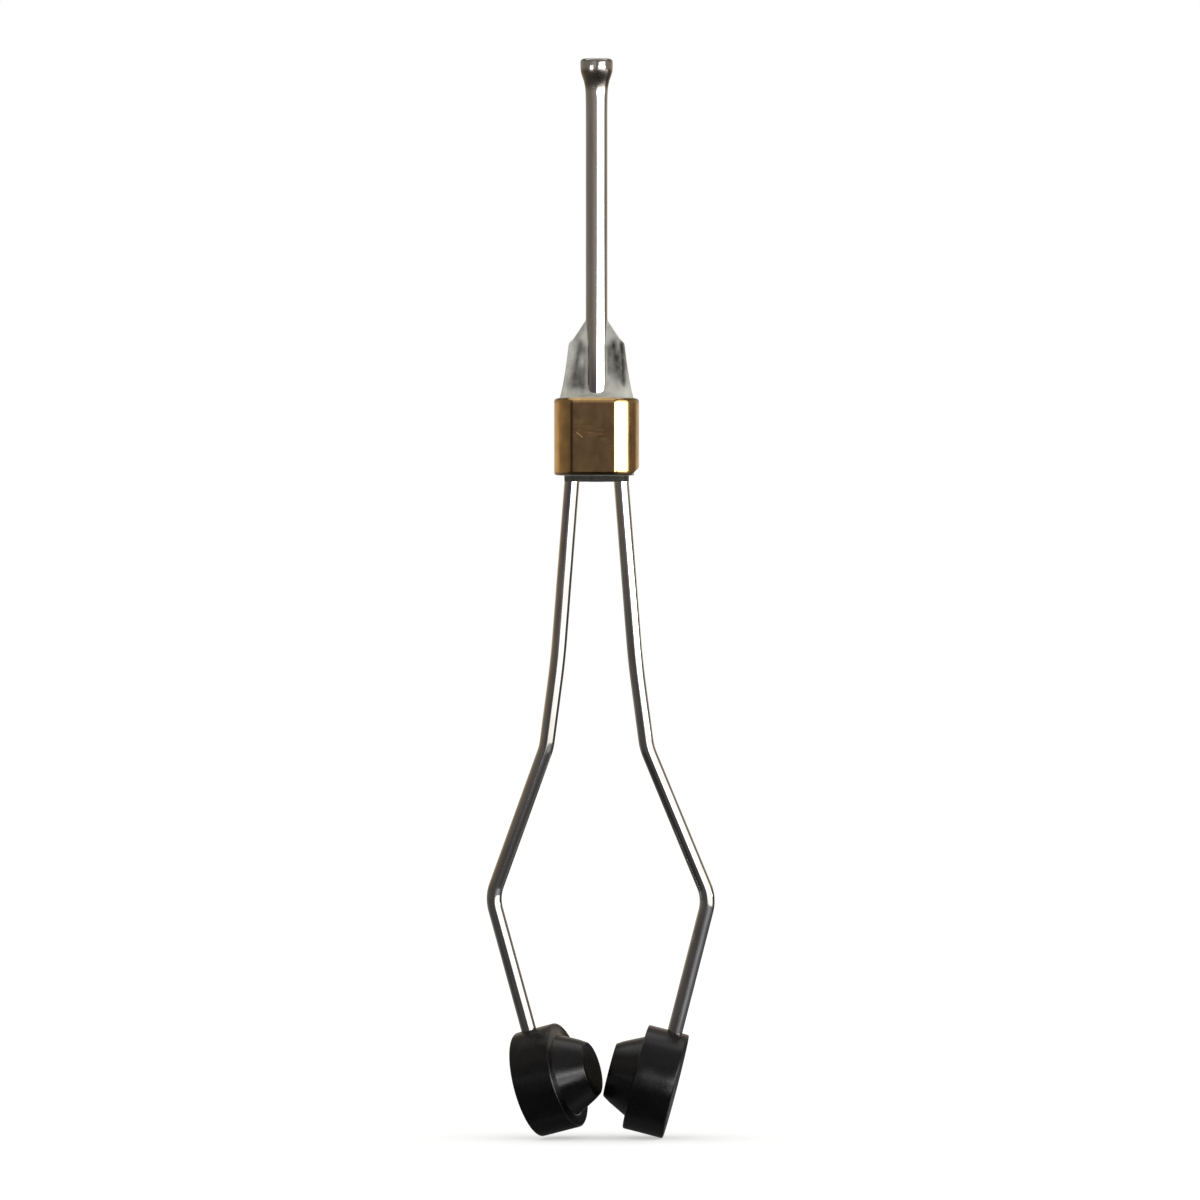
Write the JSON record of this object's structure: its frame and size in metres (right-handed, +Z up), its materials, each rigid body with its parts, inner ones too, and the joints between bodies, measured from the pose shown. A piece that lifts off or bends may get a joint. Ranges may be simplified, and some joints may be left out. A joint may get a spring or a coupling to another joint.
{
  "type": "fly tying bobbin holder",
  "caption": "Fly tying bobbin holder: a flared thread tube and sprung wire arms soldered in a short brass collar, with a cone-nosed foot on each arm to grip a thread spool.",
  "frame": {"origin": "centre of the thread tube's lower mouth, where the thread goes in", "axes": "+Z up the thread tube to its flared tip, +X to the right arm; the arms hang below the origin in the XZ plane, and -Y is the front, which the picture shows"},
  "size_m": [0.0228, 0.0113, 0.1079],
  "materials": {
    "tube_steel": "polished",
    "wire_steel": "bright drawn",
    "collar_brass": "polished, lightly tarnished",
    "solder": "satin",
    "foot_plastic": "satin"
  },
  "bodies": {
    "frame": {"thread_tube": "tube_steel", "collar": "collar_brass", "solder": "solder", "left_wire_root": "wire_steel", "right_wire_root": "wire_steel"},
    "left_arm": {"left_arm": "wire_steel"},
    "right_arm": {"right_arm": "wire_steel"},
    "left_foot": {"left_foot": "foot_plastic"},
    "right_foot": {"right_foot": "foot_plastic"}
  },
  "joints": [
    {"name": "left_arm_flex", "type": "hinge", "parent": "frame", "child": "left_arm", "pos_m": [-0.00317, 0, -0.00892], "axis": [0, 1, 0], "range_deg": [0, 14], "stiffness_Nm_per_rad": 1.6},
    {"name": "right_arm_flex", "type": "hinge", "parent": "frame", "child": "right_arm", "pos_m": [0.00317, 0, -0.00892], "axis": [0, -1, 0], "range_deg": [0, 14], "stiffness_Nm_per_rad": 1.6},
    {"name": "left_foot_swivel", "type": "hinge", "parent": "left_arm", "child": "left_foot", "pos_m": [-0.00537, 0, -0.05994], "axis": [0.2652, 0, -0.9642], "range_deg": [-27, 8]},
    {"name": "right_foot_swivel", "type": "hinge", "parent": "right_arm", "child": "right_foot", "pos_m": [0.00652, 0, -0.06013], "axis": [0.2484, 0, 0.9687], "range_deg": [-7, 13]}
  ]
}
